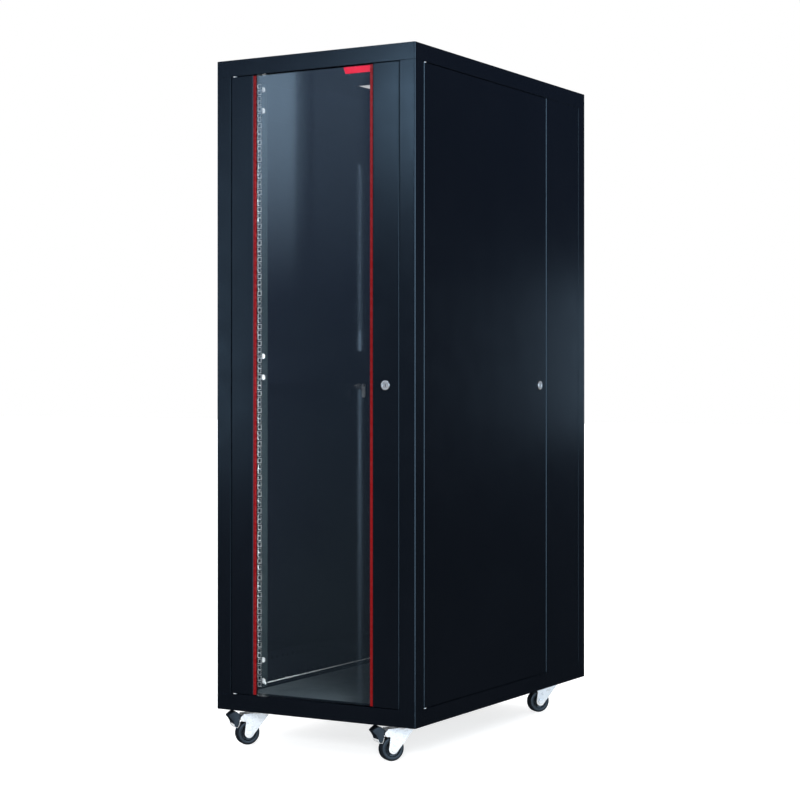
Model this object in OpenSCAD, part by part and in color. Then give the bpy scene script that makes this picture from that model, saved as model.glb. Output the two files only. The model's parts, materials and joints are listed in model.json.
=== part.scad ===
// Free-standing 19 inch network rack cabinet on four castors.
// Front is -Y, right is +X, up is +Z, the origin is on the floor under the centre.
// In the local corner frames a runs inward from a side face and b inward from the front face.

/* [Cabinet] */
// Width over the side faces
cab_w = 600; // [600:10:700]
// Depth over the front and rear faces
cab_d = 1000; // [900:25:1200]
// Height of the rack bay in rack units
units = 36; // [24:1:42]
// Height of the bars round the roof and the base
bar_h = 43; // [38:1:50]
// Width of each face of the corner posts
post_w = 44; // [40:1:44]
// Radius of the vertical outer corners
corner_r = 4; // [3:0.5:6]
// Sheet thickness of frame, posts and rails
frame_t = 2; // [1.5:0.5:2]
// Sheet thickness of doors and panels
panel_t = 1.5; // [1:0.25:1.5]

/* [Doors and panels] */
// Gap round each door and removable panel
door_gap = 2; // [1.5:0.25:3]
// Depth of the front and rear doors
door_t = 22; // [20:1:22]
// Depth of the removable side panels
side_t = 18; // [16:1:18]
// Distance from the front face to the seam behind the side panel
side_end = 742; // [600:1:742]
// Width of the hinge stile of the glass door
hinge_stile_w = 69; // [60:1:80]
// Width of the lock stile of the glass door
lock_stile_w = 77; // [70:1:90]
// Thickness of the toughened glass
glass_t = 5; // [4:1:5]
// Width of the coloured trim strips beside the glass
trim_w = 8; // [7:1:12]
// Width of the blank badge plate
badge_w = 79; // [60:1:90]
// Height of the blank badge plate
badge_h = 17; // [13:1:22]

/* [Rack rails] */
// Distance from the front face to the front rails
rail_front = 98; // [70:1:120]
// Distance between the faces of the front and rear rails
rail_spacing = 750; // [600:25:750]
// Depth of the side web of a rail
rail_web = 50; // [40:1:60]
// Height of the depth braces
brace_h = 91; // [70:1:100]

/* [Castors] */
// Height of the body above the floor
castor_h = 96; // [96:1:120]
// Wheel diameter
wheel_d = 63; // [60:1:63]
// Wheel width
wheel_w = 24; // [20:1:24]
// Distance from the king pin to the axle
trail = 34; // [30:1:36]
// Distance of each king pin from the middle, across
castor_x = 220; // [200:1:230]
// Distance of each king pin from the middle, along
castor_y = 420; // [400:1:420]
// Direction in which the castors trail, as parked
castor_turn = -125; // [-180:1:180]

/* [Hidden] */
$fn = 48;
left = -1;
right = 1;
front = -1;
rear = 1;
through = 1;

// Colours
paint = [0.07, 0.08, 0.10];
red = [0.75, 0.08, 0.09];
zinc = [0.80, 0.82, 0.85];

// Heights
rack_unit = 44.45;
bay_clear = 13.8;
bay_h = units * rack_unit + bay_clear;
body_z = castor_h;
bay_z = body_z + bar_h;
bay_top = bay_z + bay_h;
door_z = bay_z + door_gap;
door_h = bay_h - 2 * door_gap;
lock_z = body_z + 850;
unit_z = bay_z + bay_clear / 2;

// Frame rings
side_flange = 62;
end_flange = 46;
ring_upstand = 24;
base_lip = 25;
castor_plate_y0 = 365;
roof_hole_x = 188;
roof_hole_y0 = 15;
roof_hole_y1 = 375;
floor_hole_x = 150;
floor_hole_y0 = 220;
floor_hole_y1 = 340;

// Posts
door_stop = 26;
side_stop = side_t + 4;
stop_lip = 14;
mid_plate_b0 = side_end - 30;
mid_plate_w = 60;

// Braces and rails
brace_d = 14;
brace_b0 = 32;
brace_lift = [1, bay_h * 0.5025, bay_h - 1 - brace_h];
punch_r = 4.5;
punch_pitch = 25;
punch_row = 28;
end_tab = 20;
screw_in = 6;
screw_r = 3;
screw_play = 0.3;
rail_a = post_w + brace_d;
rail_face_w = 17;
cage_hole = 9.5;
cage_a = rail_a + 9.5;
cage_lines = [6.35, 22.225, 38.1];
dot_r = 3;
dot_b = 12;
bolt_b = 25;

// Hinges
pin_r = 3;
pin_in = 6;
pin_edge = 9;
pin_head_r = 3.9;
pin_head_h = 3;
run_gap = 0.05;
door_a = post_w + door_gap;
pin_a = door_a + pin_edge;
edge_r = 3;
end_plate_t = 3;
side_b = post_w + door_gap;

// Doors
lock_edge = 39;
glass_b = 4;
glass_seat_w = 8;
pan_lip = 15;
badge_slant = 6;
badge_t = 1;
stiff_w = 80;
stiff_d = 16;
stiff_foot = 15;

// Locks
lock_bore = 7;
lock_body_r = 9;
lock_flange_r = 12;
lock_proud = 2.5;
lock_nut_t = 4;
cam_t = 2.5;
cam_reach = 35;
cam_w = 16;
cam_square = 7;
side_lock_b = 700;

// Castors
race_r = 22;
fork_top_z = 80;
fork_top_t = 3;
king_r = 6;
leg_in = wheel_w / 2 + 2.5;
leg_t = 2.5;
leg_end_r = 12.5;
axle_r = 5;
plate_t = 2.5;
plate_l = 84;
plate_w = 66;
bolt_x = 34;
bolt_y = 25;
claw_s = 50;
claw_z = 71;
claw_r = 8;

// ---------------------------------------------------------------- helpers

// Puts a local corner frame at one of the four corners of the cabinet
module at_corner(side, end) {
    mirror([side > 0 ? 1 : 0, 0, 0])
        mirror([0, end > 0 ? 1 : 0, 0])
            translate([-cab_w / 2, -cab_d / 2, 0])
                children();
}

// Block between two corners
module block(lo, hi) {
    translate(lo) cube(hi - lo);
}

// Rectangle with four rounded corners
module round_rect(w, d, r) {
    square([w - 2 * r, d], center = true);
    square([w, d - 2 * r], center = true);
    for (x = [-1, 1], y = [-1, 1])
        translate([x * (w / 2 - r), y * (d / 2 - r)]) circle(r);
}

// Rectangle from the origin, rounded on the two corners at b = 0
module door_section(w, d, r) {
    translate([r, 0]) square([w - 2 * r, d]);
    translate([0, r]) square([w, d - r]);
    for (x = [r, w - r]) translate([x, r]) circle(r);
}

// Square from the origin with its outer corner rounded
module corner_square(w, r) {
    translate([r, 0]) square([w - r, w]);
    translate([0, r]) square([w, w - r]);
    translate([r, r]) circle(r);
}

// Folded sheet pan, closed on its outer face, with a return lip inside
module pan(w, h, d, lip) {
    difference() {
        linear_extrude(h) door_section(w, d, edge_r);
        block([panel_t, panel_t, panel_t], [w - panel_t, d - panel_t, h - panel_t]);
        block([lip, d / 2, lip], [w - lip, d + through, h - lip]);
    }
}

// ---------------------------------------------------------------- frame

module base_frame() {
    color(paint)
        difference() {
            union() {
                translate([0, 0, body_z])
                    linear_extrude(bar_h)
                        difference() {
                            round_rect(cab_w, cab_d, corner_r);
                            round_rect(cab_w - 2 * frame_t, cab_d - 2 * frame_t, corner_r - frame_t);
                        }
                ring_plate(bay_z - frame_t, side_flange, end_flange);
                ring_plate(body_z, base_lip, base_lip);
                for (end = [front, rear]) castor_beam(end);
            }
            for (end = [front, rear]) pin_holes(end, bay_z - frame_t);
            side_pin_holes(bay_z - frame_t);
            for (x = [-1, 1], y = [-1, 1])
                translate([x * castor_x, y * castor_y, 0]) castor_bolt_holes();
        }
}

// Flat ring just inside the walls of the body
module ring_plate(z, side_w, end_w) {
    translate([0, 0, z])
        linear_extrude(frame_t)
            difference() {
                square([cab_w - 2 * frame_t + 0.2, cab_d - 2 * frame_t + 0.2], center = true);
                square([cab_w - 2 * side_w, cab_d - 2 * end_w], center = true);
            }
}

// Cross plate that carries two castors
module castor_beam(end) {
    mirror([0, end > 0 ? 1 : 0, 0])
        block([-cab_w / 2 + frame_t, -cab_d / 2 + frame_t, body_z],
              [cab_w / 2 - frame_t, -castor_plate_y0, body_z + frame_t]);
}

// Door hinge pin holes through a flange at one end of the cabinet
module pin_holes(end, z) {
    rotate([0, 0, end > 0 ? 180 : 0])
        at_corner(left, front)
            translate([pin_a, pin_in, z - through])
                cylinder(r = pin_r + run_gap, h = frame_t + 2 * through);
}

// Side panel pin holes through a flange
module side_pin_holes(z) {
    for (side = [left, right])
        at_corner(side, front)
            translate([pin_in, pin_a, z - through])
                cylinder(r = pin_r + run_gap, h = frame_t + 2 * through);
}

module castor_bolt_holes() {
    for (x = [-1, 1], y = [-1, 1])
        translate([x * bolt_x, y * bolt_y, body_z - plate_t - through])
            cylinder(r = 4.5, h = plate_t + frame_t + 2 * through);
}

// Front floor plate and the three plates that leave the cable entry open between them
module floor_panel() {
    floor_z = bay_z - 2 * frame_t;
    edge_x = cab_w / 2 - frame_t - 1;
    edge_y = cab_d / 2 - frame_t - 1;
    seam = 1;
    color(paint)
        difference() {
            union() {
                block([-edge_x, -edge_y, floor_z], [edge_x, floor_hole_y0, floor_z + frame_t]);
                for (side = [left, right])
                    mirror([side > 0 ? 1 : 0, 0, 0])
                        block([-edge_x, floor_hole_y0 + seam, floor_z],
                              [-floor_hole_x, floor_hole_y1 - seam, floor_z + frame_t]);
                block([-edge_x, floor_hole_y1, floor_z], [edge_x, edge_y, floor_z + frame_t]);
            }
            for (end = [front, rear]) pin_head_clearance(end, floor_z);
            side_pin_head_clearance(floor_z);
        }
}

// Room in the floor for the heads of the door pins
module pin_head_clearance(end, z) {
    rotate([0, 0, end > 0 ? 180 : 0])
        at_corner(left, front)
            translate([pin_a, pin_in, z - through])
                cylinder(r = pin_head_r + 1, h = frame_t + 2 * through);
}

module side_pin_head_clearance(z) {
    for (side = [left, right])
        at_corner(side, front)
            translate([pin_in, pin_a, z - through])
                cylinder(r = pin_head_r + 1, h = frame_t + 2 * through);
}

module top_frame() {
    upstand_x = cab_w / 2 - side_flange;
    upstand_y = cab_d / 2 - end_flange;
    color(paint)
        difference() {
            union() {
                translate([0, 0, bay_top])
                    linear_extrude(frame_t)
                        difference() {
                            square([cab_w - 2 * frame_t - 2, cab_d - 2 * frame_t - 2], center = true);
                            square([2 * upstand_x, 2 * upstand_y], center = true);
                        }
                translate([0, 0, bay_top])
                    linear_extrude(ring_upstand)
                        difference() {
                            square([2 * upstand_x + 2 * frame_t, 2 * upstand_y + 2 * frame_t], center = true);
                            square([2 * upstand_x, 2 * upstand_y], center = true);
                        }
            }
            for (end = [front, rear]) pin_holes(end, bay_top);
            side_pin_holes(bay_top);
        }
}

module roof_cover() {
    color(paint)
        translate([0, 0, bay_top])
            difference() {
                linear_extrude(bar_h) round_rect(cab_w, cab_d, corner_r);
                translate([0, 0, -through])
                    linear_extrude(bar_h - frame_t + through)
                        round_rect(cab_w - 2 * frame_t, cab_d - 2 * frame_t, corner_r - frame_t);
                block([-roof_hole_x, roof_hole_y0, 0], [roof_hole_x, roof_hole_y1, bar_h + through]);
            }
}

// ---------------------------------------------------------------- posts

module post(side, end) {
    color(paint)
        at_corner(side, end)
            difference() {
                translate([0, 0, bay_z]) linear_extrude(bay_h) post_section();
                at_screws() cylinder(r = screw_r + screw_play, h = 12, center = true);
            }
}

// Corner faces, the wall beside the door, the door stop and the seat of the side panel
module post_section() {
    difference() {
        corner_square(post_w, corner_r);
        translate([frame_t, frame_t]) corner_square(post_w, corner_r - frame_t);
    }
    translate([post_w - frame_t, corner_r]) square([frame_t, post_w - corner_r]);
    translate([post_w - frame_t, door_stop]) square([stop_lip + frame_t, frame_t]);
    translate([frame_t / 2, post_w - frame_t]) square([side_stop + frame_t / 2, frame_t]);
    translate([side_stop, post_w - frame_t]) square([frame_t, stop_lip + frame_t]);
}

module mid_post(side) {
    web_b = side_end - 1;
    color(paint)
        at_corner(side, front)
            translate([0, 0, bay_z])
                linear_extrude(bay_h) {
                    translate([side_stop, mid_plate_b0]) square([frame_t, mid_plate_w]);
                    translate([side_stop, web_b]) square([post_w - side_stop, frame_t]);
                    translate([post_w - frame_t, web_b])
                        square([frame_t, mid_plate_b0 + mid_plate_w - web_b]);
                }
}

// ---------------------------------------------------------------- braces and rails

// Channel along the depth, open towards the side, with two rows of punched holes
module brace(side, level) {
    z0 = bay_z + brace_lift[level];
    b1 = cab_d - brace_b0;
    color(paint)
        at_corner(side, front)
            difference() {
                block([post_w, brace_b0, z0], [rail_a, b1, z0 + brace_h]);
                block([post_w - through, brace_b0 + end_tab, z0 + frame_t],
                      [rail_a - frame_t, b1 - end_tab, z0 + brace_h - frame_t]);
                block([post_w + frame_t, brace_b0 - through, z0 + frame_t],
                      [rail_a - frame_t, b1 + through, z0 + brace_h - frame_t]);
                punches(z0);
                brace_screw_holes();
            }
}

// The same screw places seen from both ends of a brace
module brace_screw_holes() {
    at_screws() cylinder(r = screw_r + screw_play, h = 12, center = true);
    translate([0, cab_d, 0])
        mirror([0, 1, 0])
            at_screws() cylinder(r = screw_r + screw_play, h = 12, center = true);
}

module punches(z0) {
    first = rail_front + bolt_b - punch_pitch;
    count = floor((cab_d - 2 * first) / punch_pitch);
    for (i = [0 : count], row = [-1, 1])
        translate([rail_a - frame_t - through, first + i * punch_pitch, z0 + brace_h / 2 + row * punch_row])
            rotate([0, 90, 0])
                cylinder(r = punch_r, h = frame_t + 2 * through, $fn = 24);
}

// Distance of a rail's face from the nearer end of the cabinet
function rail_face(end) = end < 0 ? rail_front : cab_d - rail_front - rail_spacing;

module rail(side, end) {
    face_b = rail_face(end);
    z0 = bay_z + 1;
    z1 = bay_top - 1;
    color(zinc)
        at_corner(side, end)
            difference() {
                union() {
                    block([rail_a, face_b, z0], [rail_a + frame_t, face_b + rail_web, z1]);
                    block([rail_a, face_b, z0], [rail_a + rail_face_w, face_b + frame_t, z1]);
                }
                for (u = [0 : units - 1], line = cage_lines)
                    translate([cage_a - cage_hole / 2, face_b - through,
                               unit_z + u * rack_unit + line - cage_hole / 2])
                        cube([cage_hole, frame_t + 2 * through, cage_hole]);
                for (u = [0 : units - 1])
                    translate([rail_a - through, face_b + dot_b, unit_z + (u + 0.5) * rack_unit])
                        rotate([0, 90, 0])
                            cylinder(r = dot_r, h = frame_t + 2 * through, $fn = 24);
                for (level = [0 : 2], row = [-1, 1])
                    translate([rail_a - through, face_b + bolt_b,
                               bay_z + brace_lift[level] + brace_h / 2 + row * punch_row])
                        rotate([0, 90, 0])
                            cylinder(r = punch_r, h = frame_t + 2 * through, $fn = 24);
            }
}

// Hexagon bolts that hold the rails to the braces
module rail_bolts() {
    color(zinc)
        for (side = [left, right], end = [front, rear], level = [0 : 2], row = [-1, 1])
            at_corner(side, end)
                translate([rail_a, rail_face(end) + bolt_b,
                           bay_z + brace_lift[level] + brace_h / 2 + row * punch_row])
                    rotate([0, 90, 0])
                        rail_bolt();
}

module rail_bolt() {
    shank_r = 4;
    head_r = 7.5;
    translate([0, 0, frame_t]) cylinder(r = head_r, h = 5, $fn = 6);
    translate([0, 0, -frame_t - 8]) cylinder(r = shank_r, h = 8 + 2 * frame_t + 1);
    translate([0, 0, -frame_t - 6]) cylinder(r = head_r, h = 6, $fn = 6);
}

// Button-head screws that hold the braces to the corner posts
module frame_screws() {
    color(zinc)
        for (side = [left, right], end = [front, rear])
            at_corner(side, end)
                at_screws() {
                    translate([0, 0, frame_t]) cylinder(r = 5.5, h = 3);
                    translate([0, 0, -frame_t - 4]) cylinder(r = screw_r, h = 2 * frame_t + 5);
                }
}

// Screw places on the wall of a corner post, local +z pointing into the brace
module at_screws() {
    for (level = [0 : 2], row = [-1, 1])
        translate([post_w, brace_b0 + screw_in, bay_z + brace_lift[level] + brace_h / 2 + row * punch_row])
            rotate([0, 90, 0]) children();
}

// ---------------------------------------------------------------- hinge pins

// Pressed pins on which the two doors and the two side panels turn
module hinge_pins() {
    color(zinc) {
        for (turn = [0, 180])
            rotate([0, 0, turn])
                at_corner(left, front)
                    translate([pin_a, pin_in, 0]) pin_pair();
        for (side = [left, right])
            at_corner(side, front)
                translate([pin_in, pin_a, 0]) pin_pair();
    }
}

module pin_pair() {
    reach = 6;
    translate([0, 0, bay_z - frame_t - pin_head_h]) cylinder(r = pin_head_r, h = pin_head_h);
    translate([0, 0, bay_z - frame_t - 1]) cylinder(r = pin_r, h = frame_t + 1 + reach);
    translate([0, 0, bay_top + frame_t]) cylinder(r = pin_head_r, h = pin_head_h);
    translate([0, 0, bay_top - reach]) cylinder(r = pin_r, h = frame_t + 1 + reach);
}

// ---------------------------------------------------------------- front door

door_w = cab_w - 2 * door_a;

module stile(a0, w, seat_a, lock_a) {
    at_corner(left, front)
        difference() {
            union() {
                translate([a0, 0, door_z])
                    linear_extrude(door_h)
                        difference() {
                            door_section(w, door_t, edge_r);
                            translate([panel_t, panel_t])
                                square([w - 2 * panel_t, door_t - 2 * panel_t]);
                        }
                for (z = [door_z, door_z + door_h - end_plate_t])
                    block([a0 + panel_t, panel_t, z],
                          [a0 + w - panel_t, door_t - panel_t, z + end_plate_t]);
                block([seat_a, glass_b + glass_t, door_z],
                      [seat_a + glass_seat_w, glass_b + glass_t + panel_t, door_z + door_h]);
            }
            translate([pin_a, pin_in, door_z - through])
                cylinder(r = pin_r + run_gap, h = door_h + 2 * through);
            if (lock_a > 0)
                translate([lock_a, -through, lock_z])
                    rotate([-90, 0, 0]) cylinder(r = lock_body_r, h = door_t + 2 * through);
        }
}

module door_hinge_stile() {
    color(paint)
        stile(door_a, hinge_stile_w, door_a + hinge_stile_w - 0.5, 0);
}

module door_lock_stile() {
    a0 = door_a + door_w - lock_stile_w;
    color(paint)
        stile(a0, lock_stile_w, a0 - glass_seat_w + 0.5, door_a + door_w - lock_edge);
}

module door_glass() {
    color([0.45, 0.55, 0.60, 0.4])
        at_corner(left, front)
            block([door_a + hinge_stile_w + 0.5, glass_b, door_z + 1],
                  [door_a + door_w - lock_stile_w - 0.5, glass_b + glass_t, door_z + door_h - 1]);
}

module trim_strip(a0) {
    front_b = 1;
    color(red)
        at_corner(left, front)
            translate([a0, front_b, door_z + 1])
                linear_extrude(door_h - 2)
                    door_section(trim_w, glass_b - front_b, 0.8);
}

module door_badge() {
    a1 = door_a + door_w - lock_stile_w - trim_w - 0.5;
    z1 = door_z + door_h - 2;
    color(red)
        at_corner(left, front)
            translate([0, glass_b, 0])
                rotate([90, 0, 0])
                    linear_extrude(badge_t)
                        polygon([[a1 - badge_w, z1], [a1, z1], [a1, z1 - badge_h],
                                 [a1 - badge_w + badge_slant, z1 - badge_h]]);
}

// ---------------------------------------------------------------- rear door and panels

module rear_door_panel() {
    color(paint)
        rotate([0, 0, 180])
            at_corner(left, front)
                difference() {
                    translate([door_a, 0, door_z]) pan(door_w, door_h, door_t, pan_lip);
                    translate([pin_a, pin_in, door_z - through])
                        cylinder(r = pin_r + run_gap, h = door_h + 2 * through);
                    translate([door_a + door_w - lock_edge, -through, lock_z])
                        rotate([-90, 0, 0]) cylinder(r = lock_body_r, h = door_t + 2 * through);
                }
}

// Hat channel spot-welded inside the rear door
module rear_door_stiffener() {
    margin = pan_lip + 5;
    color(paint)
        rotate([0, 0, 180])
            translate([-stiff_w / 2, -cab_d / 2 + panel_t, door_z + margin])
                linear_extrude(door_h - 2 * margin)
                    hat_section();
}

module hat_section() {
    for (x = [-stiff_foot, stiff_w - panel_t])
        translate([x, 0]) square([stiff_foot + panel_t, panel_t]);
    for (x = [0, stiff_w - panel_t])
        translate([x, 0]) square([panel_t, stiff_d]);
    translate([0, stiff_d - panel_t]) square([stiff_w, panel_t]);
}

module side_panel(side) {
    w = side_end - door_gap - side_b;
    color(paint)
        at_corner(side, front)
            difference() {
                translate([0, side_b, door_z])
                    mirror([1, -1, 0])
                        pan(w, door_h, side_t, pan_lip);
                translate([pin_in, pin_a, door_z - through])
                    cylinder(r = pin_r + run_gap, h = door_h + 2 * through);
                translate([-through, side_lock_b, lock_z])
                    rotate([0, 90, 0]) cylinder(r = lock_body_r, h = side_t + 2 * through);
            }
}

// Fixed panel behind the removable one
module rear_side(side) {
    b0 = side_end + 1;
    b1 = cab_d - post_w - 1;
    color(paint)
        at_corner(side, front)
            translate([0, b0, bay_z + 1])
                mirror([1, -1, 0])
                    pan(b1 - b0, bay_h - 2, side_stop, pan_lip);
}

// ---------------------------------------------------------------- locks
// Local frame: +z into the cabinet from the outer face, +y down, cam pointing down when open

module on_front() {
    at_corner(left, front)
        translate([door_a + door_w - lock_edge, 0, lock_z])
            rotate([-90, 0, 0]) children();
}

module on_rear() {
    rotate([0, 0, 180]) on_front() children();
}

module on_side(side) {
    at_corner(side, front)
        translate([0, side_lock_b, lock_z])
            mirror([1, -1, 0])
                rotate([-90, 0, 0]) children();
}

module lock_housing(depth, nut_z) {
    color(zinc)
        difference() {
            union() {
                translate([0, 0, -lock_proud]) cylinder(r = lock_flange_r, h = lock_proud);
                translate([0, 0, -1]) cylinder(r = lock_body_r, h = depth + 1);
                translate([0, 0, nut_z]) cylinder(r = lock_flange_r + 1, h = lock_nut_t, $fn = 6);
            }
            translate([0, 0, -lock_proud - through])
                cylinder(r = lock_bore + run_gap, h = depth + lock_proud + 2 * through);
        }
}

module lock_plug(depth) {
    slot_w = 2;
    slot_l = 8;
    color(zinc)
        difference() {
            union() {
                translate([0, 0, 0.5 - lock_proud]) cylinder(r = lock_bore, h = depth + lock_proud - 0.3);
                translate([-cam_square / 2, -cam_square / 2, depth])
                    cube([cam_square, cam_square, cam_t + 1.5]);
            }
            translate([-slot_w / 2, -slot_l / 2, -lock_proud - through])
                cube([slot_w, slot_l, 8]);
        }
}

module lock_cam(depth) {
    hole = cam_square + 0.1;
    color(zinc)
        translate([0, 0, depth + 0.4])
            linear_extrude(cam_t)
                difference() {
                    union() {
                        circle(cam_w / 2);
                        translate([-cam_w / 2, 0]) square([cam_w, cam_reach - 4]);
                        translate([-cam_w / 2 + 4, 0]) square([cam_w - 8, cam_reach]);
                        for (x = [-1, 1])
                            translate([x * (cam_w / 2 - 4), cam_reach - 4]) circle(4);
                    }
                    square(hole, center = true);
                }
}

door_lock_depth = door_stop + frame_t;
side_lock_depth = side_stop + frame_t;

// ---------------------------------------------------------------- castors

module at_castor(side, end) {
    translate([side * castor_x, end * castor_y, 0]) rotate([0, 0, castor_turn]) children();
}

// Mounting plates with their ball races and king pins
module castor_mounts() {
    color(zinc)
        for (side = [left, right], end = [front, rear])
            translate([side * castor_x, end * castor_y, 0])
                difference() {
                    union() {
                        translate([0, 0, body_z - plate_t])
                            linear_extrude(plate_t) round_rect(plate_l, plate_w, 6);
                        translate([0, 0, body_z - 8]) cylinder(r = race_r - 1, h = 6);
                        translate([0, 0, fork_top_z - 1]) cylinder(r = king_r, h = body_z - fork_top_z - 1);
                        translate([0, 0, fork_top_z - 4]) cylinder(r = king_r + 3, h = 3.6);
                    }
                    castor_bolt_holes();
                }
}

module castor_bolts() {
    color(zinc)
        for (side = [left, right], end = [front, rear], x = [-1, 1], y = [-1, 1])
            translate([side * castor_x + x * bolt_x, end * castor_y + y * bolt_y, body_z]) {
                translate([0, 0, -plate_t - 4]) cylinder(r = 6, h = 4, $fn = 6);
                translate([0, 0, -plate_t - 1]) cylinder(r = 3.5, h = plate_t + frame_t + 8);
                translate([0, 0, frame_t]) cylinder(r = 6, h = 5, $fn = 6);
            }
}

// Angle at which a line from a point touches a circle at distance d
function touch(d, r) = acos(r / d);

// Side outline of a fork leg: wide under the race, round at the axle, with a claw for the pedal pin
module leg_outline() {
    axle = [trail, wheel_d / 2];
    back = [-race_r + 3, fork_top_z - 5];
    notch = [trail + 9, claw_z - claw_r - 4];
    db = back - axle;
    dn = notch - axle;
    ang_b = atan2(db[1], db[0]) + touch(norm(db), leg_end_r);
    ang_n = atan2(dn[1], dn[0]) - touch(norm(dn), leg_end_r);
    difference() {
        union() {
            polygon([[-race_r + 3, fork_top_z], back,
                     axle + leg_end_r * [cos(ang_b), sin(ang_b)], axle,
                     axle + leg_end_r * [cos(ang_n), sin(ang_n)],
                     notch, [claw_s, claw_z - claw_r], [claw_s, fork_top_z]]);
            translate(axle) circle(leg_end_r);
            translate([claw_s, claw_z]) circle(claw_r);
            translate([claw_s - 4, claw_z]) square([6, fork_top_z - claw_z]);
        }
        translate(notch + [4, 0]) circle(4);
    }
}

module fork(side, end) {
    color(zinc)
        at_castor(side, end)
            union() {
                difference() {
                    union() {
                        translate([0, 0, fork_top_z]) cylinder(r = race_r + 2, h = fork_top_t);
                        translate([-race_r + 3, -leg_in - leg_t, fork_top_z])
                            cube([claw_s + race_r - 3, 2 * (leg_in + leg_t), fork_top_t]);
                        translate([0, 0, fork_top_z + 1]) cylinder(r = race_r, h = 6.5);
                    }
                    translate([0, 0, fork_top_z - through])
                        cylinder(r = king_r + run_gap, h = 20);
                    translate([claw_s - 12, -leg_in, fork_top_z - through])
                        cube([20, 2 * leg_in, fork_top_t + 2 * through]);
                }
                for (y = [-leg_in, leg_in + leg_t])
                    translate([0, y, 0])
                        rotate([90, 0, 0])
                            linear_extrude(leg_t) leg_outline();
                translate([trail, leg_in + leg_t + 4, wheel_d / 2])
                    rotate([90, 0, 0]) cylinder(r = axle_r, h = 2 * (leg_in + leg_t + 4));
                for (y = [-leg_in - leg_t, leg_in + leg_t + 4])
                    translate([trail, y, wheel_d / 2])
                        rotate([90, 0, 0]) cylinder(r = 8, h = 4, $fn = 6);
                if (end == front) pedal_pin();
            }
}

module wheel(side, end) {
    shoulder = 5;
    hub_r = 20;
    color([0.06, 0.06, 0.07])
        at_castor(side, end)
            translate([trail, 0, wheel_d / 2])
                rotate([90, 0, 0])
                    rotate_extrude($fn = 96)
                        difference() {
                            union() {
                                translate([hub_r - 2, -wheel_w / 2])
                                    square([wheel_d / 2 - shoulder - hub_r + 2, wheel_w]);
                                translate([hub_r, -wheel_w / 2 + shoulder])
                                    square([wheel_d / 2 - hub_r, wheel_w - 2 * shoulder]);
                                for (y = [-1, 1])
                                    translate([wheel_d / 2 - shoulder, y * (wheel_w / 2 - shoulder)])
                                        circle(shoulder);
                                translate([0, -wheel_w / 2 + 3]) square([hub_r, wheel_w - 6]);
                                translate([0, -wheel_w / 2 - 2]) square([9, wheel_w + 4]);
                            }
                            translate([-1, -wheel_w]) square([1 + axle_r + run_gap, 2 * wheel_w]);
                        }
}

// Foot lever between the claws, its curved skirt reaching down beside the tread
module brake_pedal(side) {
    arm_w = 2 * leg_in - 3;
    foot_w = 34;
    tip_w = 24;
    foot_s = 60.5;
    tip_s = 90;
    color([0.08, 0.08, 0.09])
        at_castor(side, front) {
            translate([0, arm_w / 2, 0])
                rotate([90, 0, 0])
                    linear_extrude(arm_w)
                        difference() {
                            union() {
                                translate([claw_s, claw_z]) circle(6);
                                polygon([[claw_s, claw_z + 6], [foot_s + 1, 84], [foot_s + 4, 84],
                                         [foot_s + 4, 71], [claw_s, claw_z - 6]]);
                            }
                            translate([claw_s, claw_z]) circle(pin_r + run_gap);
                        }
            intersection() {
                translate([0, foot_w / 2, 0])
                    rotate([90, 0, 0])
                        linear_extrude(foot_w) foot_outline(foot_s, tip_s);
                linear_extrude(body_z)
                    polygon([[foot_s - 1, -foot_w / 2], [foot_s + 12, -foot_w / 2], [tip_s, -tip_w / 2],
                             [tip_s, tip_w / 2], [foot_s + 12, foot_w / 2], [foot_s - 1, foot_w / 2]]);
            }
        }
}

// Side outline of the foot: crest, tip and the skirt that ends in the shoe
module foot_outline(s0, s1) {
    crest_z = 90.5;
    polygon([[s0, 66], [s0, 83], [s0 + 9, crest_z], [s0 + 15, crest_z], [s1, 82], [s1, 79],
             [s0 + 24, 73], [s0 + 18, 64], [s0 + 15, 54], [s0 + 11.5, 49.5],
             [s0 + 5, 49.5], [s0 + 2, 57]]);
}

// Pivot pins of the brake pedals, riveted across the claws
module pedal_pin() {
    translate([claw_s, leg_in + leg_t, claw_z])
        rotate([90, 0, 0]) cylinder(r = pin_r, h = 2 * (leg_in + leg_t));
}

base_frame();
floor_panel();
top_frame();
roof_cover();
post(left, front);  // post_front_left
post(right, front);  // post_front_right
post(left, rear);  // post_rear_left
post(right, rear);  // post_rear_right
mid_post(left);  // mid_post_left
mid_post(right);  // mid_post_right
brace(left, 0);  // brace_left_low
brace(left, 1);  // brace_left_mid
brace(left, 2);  // brace_left_top
brace(right, 0);  // brace_right_low
brace(right, 1);  // brace_right_mid
brace(right, 2);  // brace_right_top
rail(left, front);  // rail_front_left
rail(right, front);  // rail_front_right
rail(left, rear);  // rail_rear_left
rail(right, rear);  // rail_rear_right
rear_side(left);  // rear_side_left
rear_side(right);  // rear_side_right
rail_bolts();
frame_screws();
hinge_pins();
castor_mounts();
castor_bolts();
door_hinge_stile();
door_lock_stile();
door_glass();
trim_strip(door_a + hinge_stile_w);  // door_trim_left
trim_strip(door_a + door_w - lock_stile_w - trim_w);  // door_trim_right
door_badge();
on_front() lock_housing(door_stop, door_t);  // front_lock_housing
on_front() lock_plug(door_lock_depth);  // front_lock_plug
on_front() lock_cam(door_lock_depth);  // front_lock_cam
rear_door_panel();
rear_door_stiffener();
on_rear() lock_housing(door_stop, panel_t);  // rear_lock_housing
on_rear() lock_plug(door_lock_depth);  // rear_lock_plug
on_rear() lock_cam(door_lock_depth);  // rear_lock_cam
side_panel(right);  // side_panel_right
on_side(right) lock_housing(side_stop, panel_t);  // right_lock_housing
on_side(right) lock_plug(side_lock_depth);  // right_lock_plug
on_side(right) lock_cam(side_lock_depth);  // right_lock_cam
side_panel(left);  // side_panel_left
on_side(left) lock_housing(side_stop, panel_t);  // left_lock_housing
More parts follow.
